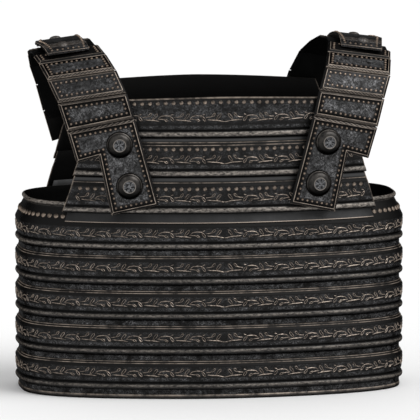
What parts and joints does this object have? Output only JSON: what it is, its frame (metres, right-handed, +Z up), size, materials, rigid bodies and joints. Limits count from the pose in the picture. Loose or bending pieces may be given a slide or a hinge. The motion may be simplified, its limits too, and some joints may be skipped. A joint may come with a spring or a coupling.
{
  "type": "laminar steel cuirass",
  "caption": "Breast and back armour of hooped and overlapping blackened steel lames, open at neck, arms and waist, hung from riveted shoulder straps.",
  "frame": {"origin": "centre of the ground that the hem stands on", "axes": "+X to the wearer's left, -Y to the front, +Z up"},
  "size_m": [0.419, 0.2514, 0.3816],
  "materials": {
    "blackened_steel": "blackened steel lames with a worn bronze-brown sheen on rolls, edges, rivets and leaf scroll",
    "strap_steel": "blackened strap plates with scratched grey fields, bronze-brown borders and small studs",
    "plain_steel": "plain dark grey steel, lightly scuffed",
    "boss_steel": "smooth dark domed steel with a lighter mottled disc in the middle"
  },
  "bodies": {
    "root": {"hem_band": "blackened_steel", "girth_lame_1": "blackened_steel", "girth_lame_2": "blackened_steel", "girth_lame_3": "blackened_steel", "girth_lame_4": "blackened_steel", "girth_lame_5": "blackened_steel", "chest_lame_1": "blackened_steel", "chest_lame_2": "blackened_steel", "chest_lame_3": "blackened_steel", "chest_joining_strip": "plain_steel", "back_lame_1": "blackened_steel", "back_lame_2": "blackened_steel", "back_lame_3": "blackened_steel", "back_joining_strip": "plain_steel", "left_front_strap_end_plate": "strap_steel", "left_front_strap_plate_2": "strap_steel", "left_front_strap_plate_3": "strap_steel", "left_front_strap_plate_4": "strap_steel", "left_front_strap_plate_5": "strap_steel", "left_front_upper_boss": "boss_steel", "left_front_lower_boss": "boss_steel", "left_back_strap_end_plate": "strap_steel", "left_back_strap_plate_2": "strap_steel", "left_back_strap_plate_3": "strap_steel", "left_back_strap_plate_4": "strap_steel", "left_back_strap_plate_5": "strap_steel", "left_back_upper_boss": "boss_steel", "left_back_lower_boss": "boss_steel", "left_shoulder_band": "plain_steel", "left_shoulder_cap": "strap_steel", "right_front_strap_end_plate": "strap_steel", "right_front_strap_plate_2": "strap_steel", "right_front_strap_plate_3": "strap_steel", "right_front_strap_plate_4": "strap_steel", "right_front_strap_plate_5": "strap_steel", "right_front_upper_boss": "boss_steel", "right_front_lower_boss": "boss_steel", "right_back_strap_end_plate": "strap_steel", "right_back_strap_plate_2": "strap_steel", "right_back_strap_plate_3": "strap_steel", "right_back_strap_plate_4": "strap_steel", "right_back_strap_plate_5": "strap_steel", "right_back_upper_boss": "boss_steel", "right_back_lower_boss": "boss_steel", "right_shoulder_band": "plain_steel", "right_shoulder_cap": "strap_steel"}
  },
  "joints": []
}
